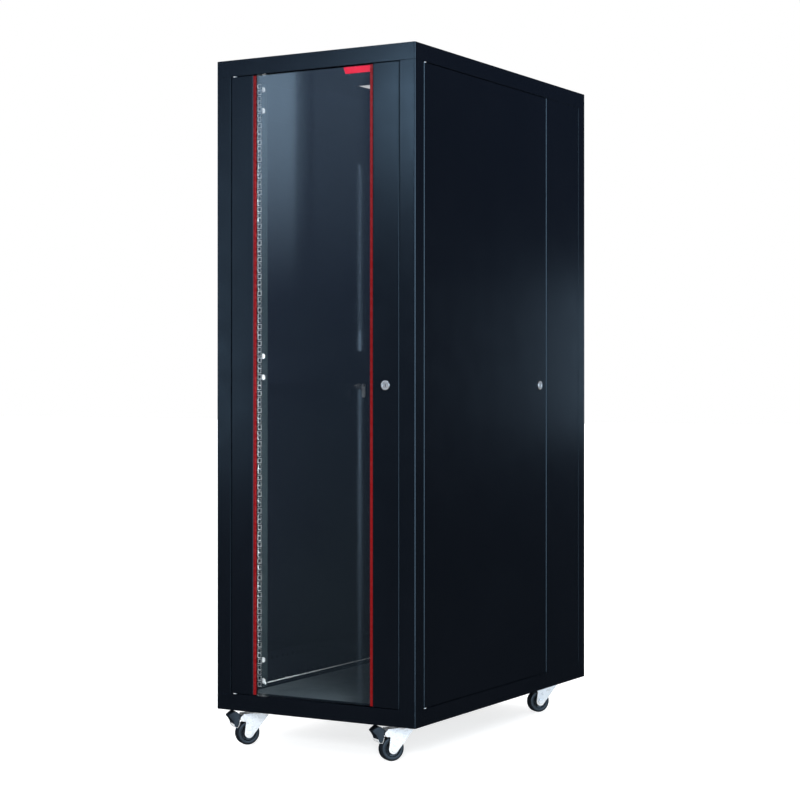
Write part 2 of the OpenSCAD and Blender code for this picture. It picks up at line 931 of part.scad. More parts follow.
on_side(left) lock_plug(side_lock_depth);  // left_lock_plug
on_side(left) lock_cam(side_lock_depth);  // left_lock_cam
fork(left, front);  // fork_front_left
fork(right, front);  // fork_front_right
fork(left, rear);  // fork_rear_left
fork(right, rear);  // fork_rear_right
wheel(left, front);  // wheel_front_left
wheel(right, front);  // wheel_front_right
wheel(left, rear);  // wheel_rear_left
wheel(right, rear);  // wheel_rear_right
brake_pedal(left);  // brake_pedal_left
brake_pedal(right);  // brake_pedal_right
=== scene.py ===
import math

import bmesh
import bpy
from mathutils import Matrix, Vector
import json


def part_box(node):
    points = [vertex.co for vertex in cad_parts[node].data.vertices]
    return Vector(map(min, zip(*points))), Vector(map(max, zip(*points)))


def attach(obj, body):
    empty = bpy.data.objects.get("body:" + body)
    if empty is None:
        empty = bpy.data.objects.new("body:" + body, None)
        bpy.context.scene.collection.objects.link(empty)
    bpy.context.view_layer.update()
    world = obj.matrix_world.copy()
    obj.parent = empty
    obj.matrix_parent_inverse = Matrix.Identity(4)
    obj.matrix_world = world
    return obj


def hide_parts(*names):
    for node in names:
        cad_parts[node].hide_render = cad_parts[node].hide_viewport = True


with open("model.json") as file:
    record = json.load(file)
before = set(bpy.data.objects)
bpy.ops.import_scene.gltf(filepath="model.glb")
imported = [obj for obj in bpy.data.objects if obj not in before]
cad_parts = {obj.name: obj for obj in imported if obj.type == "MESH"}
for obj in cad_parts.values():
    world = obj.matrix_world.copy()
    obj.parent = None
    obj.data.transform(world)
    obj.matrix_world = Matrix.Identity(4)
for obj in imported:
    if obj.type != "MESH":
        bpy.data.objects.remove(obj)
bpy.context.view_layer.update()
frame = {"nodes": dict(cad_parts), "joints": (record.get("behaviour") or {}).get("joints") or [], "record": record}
nodes = frame["nodes"]
joints = {j["name"]: j for j in frame["joints"]}

MM = 0.001

# ---------------------------------------------------------------- camera

VIEW_TURN = math.radians(29.87)
CAMERA_YAW = math.radians(30.19)
CAMERA_DISTANCE = 5.285
CAMERA_HEIGHT = 0.942
LENS = 85.66
SHIFT_DOWN = 0.0165


def make_camera():
    """The photo's view: level, a long lens, from the front right."""
    data = bpy.data.cameras.new("camera")
    data.lens = LENS
    data.sensor_width = 36.0
    data.shift_y = -SHIFT_DOWN
    data.clip_end = 200.0
    camera = bpy.data.objects.new("camera", data)
    bpy.context.scene.collection.objects.link(camera)
    camera.location = (
        CAMERA_DISTANCE * math.sin(VIEW_TURN),
        -CAMERA_DISTANCE * math.cos(VIEW_TURN),
        CAMERA_HEIGHT,
    )
    camera.rotation_euler = (math.radians(90), 0, CAMERA_YAW)
    bpy.context.scene.camera = camera


# ---------------------------------------------------------------- materials

NOISE_BAND = (0.3, 0.7)


class Shader:
    """A material with its Principled shader and short ways to add nodes."""

    def __init__(self, name):
        self.material = bpy.data.materials.new(name)
        self.material.use_nodes = True
        self.tree = self.material.node_tree
        self.shader = self.tree.nodes["Principled BSDF"]

    def put(self, **values):
        for key, value in values.items():
            self.shader.inputs[key.replace("_", " ")].default_value = value

    def node(self, kind, **inputs):
        made = self.tree.nodes.new(kind)
        for key, value in inputs.items():
            made.inputs[key.replace("_", " ")].default_value = value
        return made

    def link(self, source, socket):
        self.tree.links.new(source, socket)

    def feed(self, socket, source):
        """Drives one of the Principled shader's own sockets."""
        self.link(source, self.shader.inputs[socket])

    def coordinates(self):
        found = self.tree.nodes.get("place")
        if found is None:
            found = self.tree.nodes.new("ShaderNodeTexCoord")
            found.name = "place"
        return found.outputs["Object"]

    def noise(self, scale, detail=3.0, roughness=0.55, stretch=None):
        made = self.node("ShaderNodeTexNoise", Scale=scale, Detail=detail, Roughness=roughness)
        place = self.coordinates()
        if stretch is not None:
            mapping = self.node("ShaderNodeMapping", Scale=stretch)
            self.link(place, mapping.inputs["Vector"])
            place = mapping.outputs["Vector"]
        self.link(place, made.inputs["Vector"])
        return made.outputs["Fac"]

    def ramp(self, source, colour_low, colour_high, band=NOISE_BAND):
        """A colour that runs from low to high over the band of the source."""
        made = self.node("ShaderNodeValToRGB")
        self.link(source, made.inputs["Fac"])
        ends = made.color_ramp.elements
        ends[0].position, ends[1].position = band
        ends[0].color, ends[1].color = colour_low, colour_high
        return made.outputs["Color"]

    def span(self, source, out_low, out_high):
        """A value that runs from low to high over the usual band of a noise."""
        made = self.node("ShaderNodeMapRange")
        made.inputs["From Min"].default_value, made.inputs["From Max"].default_value = NOISE_BAND
        made.inputs["To Min"].default_value = out_low
        made.inputs["To Max"].default_value = out_high
        self.link(source, made.inputs["Value"])
        return made.outputs["Result"]

    def bump(self, source, distance, strength=1.0, under=None):
        made = self.node("ShaderNodeBump", Strength=strength, Distance=distance)
        self.link(source, made.inputs["Height"])
        if under is not None:
            self.link(under, made.inputs["Normal"])
        return made.outputs["Normal"]


def grey(value):
    return (value, value, value, 1.0)


def powder_paint(name, low, high, rough_low, rough_high):
    """Satin powder coat: orange peel, cloudy gloss and a slight tone change."""
    s = Shader(name)
    s.put(Metallic=0.0, IOR=1.45, Specular_Tint=(0.80, 0.92, 1.0, 1.0))
    s.feed("Base Color", s.ramp(s.noise(3.0, 4.0), low, high))
    s.feed("Roughness", s.span(s.noise(14.0, 5.0), rough_low, rough_high))
    peel = s.bump(s.noise(300.0, 2.0), 0.06 * MM, 0.16)
    s.feed("Normal", s.bump(s.noise(1200.0, 1.0), 0.02 * MM, 0.12, peel))
    return s.material


def zinc_plate(name, tone):
    """Bright zinc with a fine drawn grain and a cloudy passivated tone."""
    s = Shader(name)
    s.put(Metallic=0.2, IOR=1.6)
    bright = (tone, tone * 1.01, tone * 1.02, 1.0)
    s.feed("Base Color", s.ramp(s.noise(35.0, 3.0), grey(tone * 0.94), bright, (0.3, 0.75)))
    s.feed("Roughness", s.span(s.noise(90.0, 3.0), 0.24, 0.34))
    s.feed("Normal", s.bump(s.noise(600.0, 2.0, stretch=(1.0, 1.0, 0.15)), 0.02 * MM, 0.15))
    return s.material


def chrome_plate():
    """Polished plating with faint handling haze."""
    s = Shader("lock_chrome")
    s.put(Metallic=0.75, IOR=1.8)
    s.feed("Base Color", s.ramp(s.noise(150.0, 2.0), grey(0.72), grey(0.84)))
    s.feed("Roughness", s.span(s.noise(400.0, 3.0), 0.10, 0.22))
    s.feed("Normal", s.bump(s.noise(1500.0, 2.0), 0.01 * MM, 0.3))
    return s.material


def red_plastic(name, low, high, ior, rough_low, rough_high):
    """Moulded red plastic with slight streaks along its length."""
    s = Shader(name)
    s.put(Metallic=0.0, IOR=ior)
    s.feed("Base Color", s.ramp(s.noise(25.0, 3.0, stretch=(1.0, 1.0, 0.1)), low, high))
    s.feed("Roughness", s.span(s.noise(90.0, 3.0), rough_low, rough_high))
    s.feed("Normal", s.bump(s.noise(700.0, 2.0), 0.02 * MM, 0.3))
    return s.material


def smoked_glass():
    """Grey tempered glass: see-through, with a hard clear reflection on both faces."""
    s = Shader("glass")
    s.put(Metallic=0.0, IOR=3.0, Alpha=0.32)
    tint = s.ramp(s.noise(4.0, 2.0), (0.006, 0.008, 0.010, 1.0), (0.008, 0.011, 0.013, 1.0))
    s.feed("Base Color", tint)
    s.feed("Roughness", s.span(s.noise(9.0, 4.0), 0.022, 0.032))
    return s.material


def tread_rubber():
    """Matt black tyre with a fine grain and dusty patches."""
    s = Shader("wheel_black")
    s.put(Metallic=0.0, IOR=1.5)
    dust = s.ramp(s.noise(120.0, 4.0), (0.0032, 0.0040, 0.0056, 1.0), (0.0060, 0.0072, 0.0095, 1.0))
    s.feed("Base Color", dust)
    s.feed("Roughness", s.span(s.noise(200.0, 4.0), 0.34, 0.50))
    s.feed("Normal", s.bump(s.noise(1200.0, 3.0), 0.06 * MM, 0.5))
    return s.material


def moulded_nylon():
    """Black glass-filled nylon with a fine moulded grain."""
    s = Shader("pedal_black")
    s.put(Metallic=0.0, IOR=1.5)
    grain = s.ramp(s.noise(80.0, 3.0), (0.0020, 0.0027, 0.0042, 1.0), (0.0038, 0.0048, 0.0070, 1.0))
    s.feed("Base Color", grain)
    s.feed("Roughness", s.span(s.noise(300.0, 3.0), 0.30, 0.44))
    s.feed("Normal", s.bump(s.noise(1600.0, 2.0), 0.05 * MM, 0.5))
    return s.material


def foam_rubber():
    """Closed-cell foam: matt, with fine open pores on its skin."""
    s = Shader("foam")
    s.put(Metallic=0.0, IOR=1.35)
    s.feed("Base Color", s.ramp(s.noise(500.0, 3.0), grey(0.006), grey(0.016), (0.35, 0.6)))
    s.feed("Roughness", s.span(s.noise(300.0, 2.0), 0.75, 0.95))
    s.feed("Normal", s.bump(s.noise(1400.0, 3.0), 0.2 * MM, 0.6))
    return s.material


PAINT = powder_paint("black_paint", (0.0016, 0.0021, 0.0034, 1.0), (0.0022, 0.0028, 0.0044, 1.0), 0.20, 0.26)
RAIL_PAINT = powder_paint("rail_paint", (0.010, 0.0145, 0.016, 1.0), (0.015, 0.021, 0.023, 1.0), 0.34, 0.44)
# floor panel: the black paint made a lighter grey, painted light for the light the floor panel reflects at a
# grazing angle
PAINTED_LIGHT_FLOOR_PAINT = powder_paint("floor_paint", (0.066, 0.082, 0.092, 1.0), (0.086, 0.106, 0.118, 1.0), 0.34, 0.44)
ZINC = zinc_plate("zinc", 0.76)
BARE_ZINC = zinc_plate("bare_zinc", 0.98)
CHROME = chrome_plate()
RED = red_plastic("red_trim", (0.115, 0.0020, 0.0026, 1.0), (0.155, 0.0028, 0.0036, 1.0), 1.25, 0.20, 0.34)
RED_BADGE = red_plastic("red_badge", (0.40, 0.005, 0.020, 1.0), (0.50, 0.007, 0.028, 1.0), 1.55, 0.06, 0.12)
GLASS = smoked_glass()
RUBBER = tread_rubber()
NYLON = moulded_nylon()
FOAM = foam_rubber()

FINISH = {
    "black_paint": PAINT,
    "rail_steel": RAIL_PAINT,
    "zinc": ZINC,
    "lock_chrome": CHROME,
    "glass": GLASS,
    "red_trim": RED,
    "wheel_black": RUBBER,
    "pedal_black": NYLON,
}
# the floor panel takes the lighter grey copy of the black paint, painted light
NODE_FINISH = {"door_badge": RED_BADGE, "floor_panel": PAINTED_LIGHT_FLOOR_PAINT}

# ---------------------------------------------------------------- edges of the CAD nodes

FOLD_EDGE = 0.7 * MM
FINE_EDGE = 0.25 * MM
FINE_NODES = ("rail_front", "rail_rear", "brace_", "rail_bolts", "castor_bolts", "frame_screws",
              "hinge_pins", "door_glass", "door_badge")
EDGE_ANGLE = math.radians(35)


def dress(node):
    """Rounded sheet edges and even shading on one CAD node, without touching its own mesh."""
    node.data.polygons.foreach_set("use_smooth", [True] * len(node.data.polygons))
    weld = node.modifiers.new("weld", "WELD")
    weld.merge_threshold = 0.01 * MM
    bevel = node.modifiers.new("edges", "BEVEL")
    bevel.width = FINE_EDGE if node.name.startswith(FINE_NODES) else FOLD_EDGE
    bevel.segments = 2
    bevel.limit_method = "ANGLE"
    bevel.angle_limit = EDGE_ANGLE
    bevel.use_clamp_overlap = False
    bevel.miter_outer = "MITER_ARC"
    even = node.modifiers.new("even", "WEIGHTED_NORMAL")
    even.keep_sharp = False
    even.weight = 80


def paint_frame():
    """Every CAD node takes the procedural material of its slot, and rounded edges."""
    for part in frame["record"]["subparts"]:
        node = nodes[part["node"]]
        node.data.materials.clear()
        node.data.materials.append(NODE_FINISH.get(part["node"], FINISH[part["material_slot"]]))
        dress(node)


# ---------------------------------------------------------------- detail pieces

SQUARE = ((1, 1), (-1, 1), (-1, -1), (1, -1))
SIDES = ("left", "right")
ENDS = ("front", "rear")
SKIN = 0.02 * MM
SHEET = 2.0 * MM


def new_piece(name, bm, body, slot, material=None, edge=0.0):
    """Turns a bmesh into a piece on a body, with its finish and rounded edges."""
    bmesh.ops.recalc_face_normals(bm, faces=bm.faces)
    mesh = bpy.data.meshes.new(name)
    bm.to_mesh(mesh)
    bm.free()
    mesh.polygons.foreach_set("use_smooth", [True] * len(mesh.polygons))
    mesh.materials.append(material or FINISH[slot])
    made = bpy.data.objects.new(name, mesh)
    bpy.context.scene.collection.objects.link(made)
    if edge > 0:
        bevel = made.modifiers.new("edges", "BEVEL")
        bevel.width = edge
        bevel.segments = 2
        bevel.limit_method = "ANGLE"
        bevel.angle_limit = EDGE_ANGLE
        bevel.use_clamp_overlap = False
    even = made.modifiers.new("even", "WEIGHTED_NORMAL")
    even.keep_sharp = False
    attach(made, body)
    return made


def tube_of_loops(bm, loops):
    """Joins closed loops of equal length one after the other, and the last to the first."""
    rings = [[bm.verts.new(point) for point in loop] for loop in loops]
    for ring, following in zip(rings, rings[1:] + rings[:1]):
        for i in range(len(ring)):
            j = (i + 1) % len(ring)
            bm.faces.new((ring[i], ring[j], following[j], following[i]))


def prism(bm, outline, low, high, place=Matrix.Identity(4)):
    """An outline in local x and y, extruded along local z from low to high."""
    bottom = [bm.verts.new(place @ Vector((x, y, low))) for x, y in outline]
    top = [bm.verts.new(place @ Vector((x, y, high))) for x, y in outline]
    bm.faces.new(bottom[::-1])
    bm.faces.new(top)
    for i in range(len(outline)):
        j = (i + 1) % len(outline)
        bm.faces.new((bottom[i], bottom[j], top[j], top[i]))


def lathe(bm, profile, steps, place):
    """A closed profile of (radius, height) points turned round local z."""
    loops = []
    for radius, height in profile:
        ring = []
        for k in range(steps):
            angle = 2 * math.pi * k / steps
            ring.append(place @ Vector((radius * math.cos(angle), radius * math.sin(angle), height)))
        loops.append(ring)
    tube_of_loops(bm, loops)


def arc(centre, radius, start, end, steps):
    """Points on an arc, its angles in degrees."""
    points = []
    for k in range(steps + 1):
        angle = math.radians(start + (end - start) * k / steps)
        points.append((centre[0] + radius * math.cos(angle), centre[1] + radius * math.sin(angle)))
    return points


def rect_loop(half_x, half_y, corner, z, centre=(0.0, 0.0)):
    """A rectangle with round corners, at height z."""
    loop = []
    for k, (sx, sy) in enumerate(SQUARE):
        middle = (centre[0] + sx * (half_x - corner), centre[1] + sy * (half_y - corner))
        loop += [(x, y, z) for x, y in arc(middle, corner, 90 * k, 90 * k + 90, 4)]
    return loop


def mirrored(side):
    """The sign of x on that side."""
    return -1 if side == "left" else 1


# ---- rails: bare punched edges round the cage nut holes

RACK_UNIT = 44.45 * MM
HOLE_LINES = (6.35 * MM, 22.225 * MM, 38.1 * MM)
HOLE_HALF = 4.75 * MM
HOLE_X = 232.5 * MM
UNITS = 36
FIRST_UNIT = 5.9 * MM
BARE_LIP = 1.6 * MM
BARE_LIP_MARK = 2.6 * MM
LIP_PROUD = 0.25 * MM
LIP_IN = 0.2 * MM


def rail_hole_rims(end, side):
    """Bright square rims, the middle hole of each unit a little wider, as a counting mark."""
    node = f"rail_{end}_{side}"
    low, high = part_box(node)
    out = -1 if end == "front" else 1
    face = low[1] if end == "front" else high[1]
    centre_x = mirrored(side) * HOLE_X
    first = low[2] + FIRST_UNIT
    bm = bmesh.new()
    for unit in range(UNITS):
        for line in HOLE_LINES:
            z = first + unit * RACK_UNIT + line
            lip = BARE_LIP_MARK if line == HOLE_LINES[1] else BARE_LIP
            section = (
                (HOLE_HALF - LIP_IN, face - out * SHEET),
                (HOLE_HALF - LIP_IN, face + out * LIP_PROUD),
                (HOLE_HALF + lip, face + out * LIP_PROUD),
                (HOLE_HALF + lip, face + out * SKIN),
                (HOLE_HALF + SKIN, face + out * SKIN),
                (HOLE_HALF + SKIN, face - out * SHEET),
            )
            tube_of_loops(bm, [[(centre_x + sx * half, y, z + sz * half) for sx, sz in SQUARE]
                               for half, y in section])
    new_piece(f"{node}_hole_rims", bm, "frame", "zinc", BARE_ZINC)


# ---- hinges: a washer in each gap between a door or panel and the frame

WASHER_R = 5.6 * MM
WASHER_EDGE = 0.1 * MM
PIN_R = 3.05 * MM
PIVOTS = ("front_door_hinge", "rear_door_hinge", "right_panel_swing", "left_panel_swing")


def hinge_washers():
    """A plain washer on each pivot pin, below and above its door or panel."""
    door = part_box("door_hinge_stile")
    frame_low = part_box("base_frame")[1][2]
    frame_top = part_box("roof_cover")[0][2]
    bm = bmesh.new()
    edge = WASHER_EDGE
    for name in PIVOTS:
        x, y = joints[name]["pos_m"][:2]
        for low, high in ((frame_low, door[0][2]), (door[1][2], frame_top)):
            profile = ((PIN_R, low + edge), (PIN_R, high - edge), (WASHER_R - edge, high - edge),
                       (WASHER_R, high - 4 * edge), (WASHER_R, low + 4 * edge), (WASHER_R - edge, low + edge))
            lathe(bm, profile, 32, Matrix.Translation((x, y, 0)))
    new_piece("hinge_washers", bm, "frame", "zinc")


# ---- doors and side panels: foam seals where they close against the posts

SEAL_HALF = 3.0 * MM
SEAL_THICK = 3.6 * MM
SEAL_FOOT = 0.4 * SEAL_THICK
SEAL_SHORT = 6 * MM
SEAL_INSET = 9 * MM


def foam_seal(name, body, place, z_low, z_high):
    """A D-shaped foam strip; local x runs across it and local y away from the door."""
    outline = [(-SEAL_HALF, 0.0)]
    outline += [(x, SEAL_FOOT + (SEAL_THICK - SEAL_FOOT) * y / SEAL_HALF)
                for x, y in arc((0.0, 0.0), SEAL_HALF, 180, 0, 12)]
    outline.append((SEAL_HALF, 0.0))
    bm = bmesh.new()
    prism(bm, outline, z_low, z_high, place)
    new_piece(name, bm, body, "wheel_black", FOAM)


def door_seals():
    """Two upright seals on the inside of each door and each side panel."""
    stile_low, stile_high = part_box("door_hinge_stile")
    panel_low, panel_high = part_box("side_panel_right")
    z_low = stile_low[2] + SEAL_SHORT
    z_high = stile_high[2] - SEAL_SHORT
    rear_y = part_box("rear_door_panel")[0][1]
    hinge_x = abs(joints["front_door_hinge"]["pos_m"][0])
    panel_ends = {"front": joints["right_panel_swing"]["pos_m"][1], "rear": panel_high[1] - SEAL_INSET}
    for side in SIDES:
        sign = mirrored(side)
        front = Matrix.Translation((sign * hinge_x, stile_high[1], 0))
        foam_seal(f"front_door_seal_{side}", "front_door", front, z_low, z_high)
        rear = Matrix.Translation((sign * hinge_x, rear_y, 0)) @ Matrix.Rotation(math.pi, 4, "Z")
        foam_seal(f"rear_door_seal_{side}", "rear_door", rear, z_low, z_high)
        turn = Matrix.Rotation(sign * math.pi / 2, 4, "Z")
        for end, y in panel_ends.items():
            place = Matrix.Translation((sign * panel_low[0], y, 0)) @ turn
            foam_seal(f"{side}_panel_seal_{end}", f"{side}_panel", place, z_low, z_high)


# ---- cable openings: a rubber edging pushed on the sheet

EDGING_WALL = 1.4 * MM
EDGING_LIP = 6.0 * MM
EDGING_COVER = 0.7 * MM
EDGING_GAP = 0.03 * MM
ROOF_OPENING = (188 * MM, 15 * MM, 375 * MM)
ROOF_CORNER = 3 * MM
FLOOR_OPENING = (150 * MM, 220 * MM, 340 * MM)
FLOOR_CORNER = 2 * MM


def edge_trim(name, opening, sheet_low, sheet_high, corner, flush=False):
    """An edging round an opening in a horizontal sheet: a U, or an L that ends flush with the top."""
    x_half, y_low, y_high = opening
    centre = (0.0, (y_low + y_high) / 2)
    half_y = (y_high - y_low) / 2
    wall, lip, cover, gap = EDGING_WALL, EDGING_LIP, EDGING_COVER, EDGING_GAP
    top = (
        (-wall, sheet_high + 0.5 * cover), (-0.6 * wall, sheet_high + cover), (lip, sheet_high + 0.6 * cover),
        (lip, sheet_high + gap), (-gap, sheet_high + gap),
    )
    if flush:
        top = ((-wall, sheet_high - 0.5 * cover), (-0.6 * wall, sheet_high - SKIN), (-gap, sheet_high - SKIN))
    section = (
        (-wall, sheet_low - 0.5 * cover), *top, (-gap, sheet_low - gap), (lip, sheet_low - gap),
        (lip, sheet_low - 0.6 * cover), (-0.6 * wall, sheet_low - cover),
    )
    bm = bmesh.new()
    tube_of_loops(bm, [rect_loop(x_half + out, half_y + out, corner + out, z, centre) for out, z in section])
    new_piece(name, bm, "frame", "wheel_black")


# ---- castors

CASTOR_LAY = Matrix.Rotation(math.radians(-125), 4, "Z") @ Matrix.Rotation(math.pi / 2, 4, "X")
WHEEL_HALF = 12 * MM
TYRE_IN = 20.5 * MM
TYRE_BEAD = 1 * MM
SHOULDER = 5 * MM
GROOVE_DEEP = 1.0 * MM
GROOVE_AT = (-4.5 * MM, 0.0, 4.5 * MM)
GROOVE_HALF = 0.7 * MM
HUB_HALF = 9 * MM
BOSS_R = 9 * MM
BOSS_HALF = 13.8 * MM
BOSS_EDGE = 0.8 * MM
AXLE_R = 5.1 * MM
WEB_SUNK = 2 * MM
RIM_IN = TYRE_IN - 2.0 * MM
RIM_FOOT = TYRE_IN - 2.5 * MM
RIM_OUT = TYRE_IN + 0.1 * MM
RIBS = 6
RIB_HALF = 1 * MM
RIB_LOW = HUB_HALF - 3 * MM
RIB_TOP = HUB_HALF - 0.4 * MM


def tyre_profile(radius):
    """Round shoulders and three fine grooves round the tread."""
    points = [(TYRE_IN, -WHEEL_HALF + TYRE_BEAD), (TYRE_IN + TYRE_BEAD, -WHEEL_HALF)]
    points += arc((radius - SHOULDER, -WHEEL_HALF + SHOULDER), SHOULDER, -90, 0, 6)
    for y in GROOVE_AT:
        points += [(radius, y - GROOVE_HALF), (radius - GROOVE_DEEP, y - 0.4 * GROOVE_HALF),
                   (radius - GROOVE_DEEP, y + 0.4 * GROOVE_HALF), (radius, y + GROOVE_HALF)]
    points += arc((radius - SHOULDER, WHEEL_HALF - SHOULDER), SHOULDER, 0, 90, 6)
    points += [(TYRE_IN + TYRE_BEAD, WHEEL_HALF), (TYRE_IN, WHEEL_HALF - TYRE_BEAD)]
    return points


def castor_wheel(tag):
    """A rubber tyre on a moulded hub with ribs, both on the wheel's body."""
    body = f"wheel_{tag}"
    x, y, z = joints[f"wheel_{tag}_spin"]["pos_m"]
    place = Matrix.Translation((x, y, z)) @ CASTOR_LAY
    tyre = bmesh.new()
    lathe(tyre, tyre_profile(z), 72, place)
    tyre_piece = new_piece(f"tyre_{tag}", tyre, body, "wheel_black")
    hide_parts(body)
    hub = bmesh.new()
    upper = [(RIM_OUT, HUB_HALF), (RIM_IN, HUB_HALF), (RIM_FOOT, HUB_HALF - WEB_SUNK),
             (BOSS_R, HUB_HALF - WEB_SUNK), (BOSS_R, BOSS_HALF - BOSS_EDGE),
             (BOSS_R - BOSS_EDGE, BOSS_HALF), (AXLE_R, BOSS_HALF)]
    lower = [(radius, -height) for radius, height in reversed(upper)]
    lathe(hub, lower + upper, 48, place)
    near, far = BOSS_R - RIB_HALF, TYRE_IN - RIB_HALF
    rib = ((near, -RIB_HALF), (far, -RIB_HALF), (far, RIB_HALF), (near, RIB_HALF))
    for k in range(RIBS):
        turn = place @ Matrix.Rotation(2 * math.pi * k / RIBS, 4, "Z")
        prism(hub, rib, RIB_LOW, RIB_TOP, turn)
        prism(hub, rib, -RIB_TOP, -RIB_LOW, turn)
    new_piece(f"hub_{tag}", hub, body, "pedal_black")


FOOT_S = 60.5 * MM
PEDAL_CREST = Vector((FOOT_S + 15 * MM, 90.5 * MM))
PEDAL_TIP = Vector((90 * MM, 82 * MM))
GRIPS = 4
GRIP_FIRST, GRIP_PITCH = 3 * MM, 3.2 * MM
GRIP_HALF, GRIP_TAPER = 14.5 * MM, 1.1 * MM
GRIP_FOOT, GRIP_TOP = 0.8 * MM, 0.5 * MM
GRIP_SUNK, GRIP_HIGH = 0.3 * MM, 0.9 * MM
SHOE_HALF = 17.6 * MM
SHOE_T = 0.8 * MM
SHOE_EDGE = 0.2 * MM


def brake_extras(side):
    """Grip ribs across the pedal and the pressed zinc shoe round its skirt."""
    x, y = joints[f"castor_front_{side}_swivel"]["pos_m"][:2]
    place = Matrix.Translation((x, y, 0)) @ CASTOR_LAY
    along = (PEDAL_TIP - PEDAL_CREST).normalized()
    up = Vector((-along.y, along.x))
    grip = bmesh.new()
    for k in range(GRIPS):
        spot = PEDAL_CREST + along * (GRIP_FIRST + GRIP_PITCH * k)
        half = GRIP_HALF - GRIP_TAPER * k
        foot, top = spot - up * GRIP_SUNK, spot + up * GRIP_HIGH
        corners = (foot - along * GRIP_FOOT, top - along * GRIP_TOP,
                   top + along * GRIP_TOP, foot + along * GRIP_FOOT)
        prism(grip, [(p.x, p.y) for p in corners], -half, half, place)
    new_piece(f"brake_grip_{side}", grip, f"brake_{side}", "pedal_black", edge=SHOE_EDGE)
    path = [(FOOT_S + 0.6 * MM, 62 * MM), (FOOT_S + 2 * MM, 57 * MM), (FOOT_S + 5 * MM, 49.5 * MM),
            (FOOT_S + 11.5 * MM, 49.5 * MM), (FOOT_S + 15 * MM, 54 * MM), (FOOT_S + 16.5 * MM, 59 * MM)]
    outer = []
    for i, (s, z) in enumerate(path):
        before, after = path[max(i - 1, 0)], path[min(i + 1, len(path) - 1)]
        run = Vector((after[0] - before[0], after[1] - before[1])).normalized()
        outer.append((s + run.y * SHOE_T, z - run.x * SHOE_T))
    shoe = bmesh.new()
    prism(shoe, path + outer[::-1], -SHOE_HALF, SHOE_HALF, place)
    new_piece(f"brake_shoe_{side}", shoe, f"brake_{side}", "zinc", edge=SHOE_EDGE)


# ---- locks: painted shade, a black ring in the gap round the plug and a black keyhole in it

OUTWARD = {"front": (0, -1, 0), "rear": (0, 1, 0), "right": (1, 0, 0), "left": (-1, 0, 0)}
RING_IN, RING_OUT = 6.2 * MM, 7.5 * MM
RING_EDGE = 0.1 * MM
RING_SUNK, RING_PROUD = 0.3 * MM, 0.12 * MM
KEY_HALF_W, KEY_HALF_L = 0.9 * MM, 4 * MM
WARD_X, WARD_LOW, WARD_HIGH = 1.9 * MM, -1.6 * MM, 0.8 * MM
KEY_SUNK, KEY_PROUD = 0.6 * MM, 0.08 * MM


def lock_face(name):
    """Painted shade: a black ring standing for the shadow in the gap between plug and housing, and a black key
    slot standing for the shade in the keyhole.
    """
    low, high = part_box(f"{name}_lock_plug")
    middle = (Vector(low) + Vector(high)) / 2
    half_long = max(high[i] - low[i] for i in range(2)) / 2
    outward = Vector(OUTWARD[name])
    turn = outward.to_track_quat("Z", "Y").to_matrix().to_4x4()
    place = Matrix.Translation(middle + outward * half_long) @ turn
    # painted shade: black ring and key slot, a little proud of the lock face
    face = bmesh.new()
    profile = ((RING_IN, -RING_SUNK), (RING_IN + RING_EDGE, RING_PROUD),
               (RING_OUT - RING_EDGE, RING_PROUD), (RING_OUT, -RING_SUNK))
    lathe(face, profile, 48, place)
    slot = ((-KEY_HALF_W, -KEY_HALF_L), (KEY_HALF_W, -KEY_HALF_L), (KEY_HALF_W, WARD_LOW),
            (WARD_X, WARD_LOW), (WARD_X, WARD_HIGH), (KEY_HALF_W, WARD_HIGH),
            (KEY_HALF_W, KEY_HALF_L), (-KEY_HALF_W, KEY_HALF_L))
    prism(face, slot, -KEY_SUNK, KEY_PROUD, place)
    new_piece(f"{name}_key_slot", face, f"{name}_lock", "pedal_black")


# ---- painted highlights: bright zinc strips along the low braces

STRIP_HALF = 1.4 * MM
STRIP_T = 1.2 * MM
STRIP_LIFT = 9.5 * MM
STRIP_SHORT = 98 * MM
STRIP_EDGE = 0.3 * MM
SCREW_INSET = 8 * MM
HEAD_PROFILE = ((0.1 * MM, 0.0), (0.1 * MM, STRIP_T + 2.4 * MM), (3.0 * MM, STRIP_T + 2.2 * MM),
                (4.2 * MM, STRIP_T + 1.0 * MM), (4.2 * MM, 0.0))


def painted_highlight_strip(side):
    """A flat zinc bar along the foot of the low brace, with a screw at each end: a painted highlight standing for
    the highlight along the brace's folded flange.
    """
    low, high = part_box(f"brace_{side}_low")
    face = high[0] if side == "left" else low[0]
    z = low[2] + STRIP_LIFT
    reach = high[1] - STRIP_SHORT
    z_low, z_high = z - STRIP_HALF, z + STRIP_HALF
    bm = bmesh.new()
    lay = Matrix(((0, 0, -mirrored(side), face), (1, 0, 0, 0), (0, 1, 0, 0), (0, 0, 0, 1)))
    prism(bm, ((-reach, z_low), (reach, z_low), (reach, z_high), (-reach, z_high)), 0.0, STRIP_T, lay)
    for y in (SCREW_INSET - reach, reach - SCREW_INSET):
        lathe(bm, HEAD_PROFILE, 24, lay @ Matrix.Translation((y, z, 0)))
    new_piece(f"earth_strip_{side}", bm, "frame", "zinc", edge=STRIP_EDGE)


def add_details():
    """Everything that the CAD nodes leave to the visual model."""
    for name in OUTWARD:
        lock_face(name)
    for side in SIDES:
        # painted highlight: a bright zinc strip along each low brace
        painted_highlight_strip(side)
    for end in ENDS:
        for side in SIDES:
            rail_hole_rims(end, side)
            castor_wheel(f"{end}_{side}")
    for side in SIDES:
        brake_extras(side)
    hinge_washers()
    door_seals()
    roof_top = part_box("roof_cover")[1][2]
    edge_trim("roof_opening_edging", ROOF_OPENING, roof_top - SHEET, roof_top, ROOF_CORNER, flush=True)
    floor_low, floor_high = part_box("floor_panel")
    edge_trim("floor_opening_edging", FLOOR_OPENING, floor_low[2], floor_high[2], FLOOR_CORNER)


# ---------------------------------------------------------------- studio

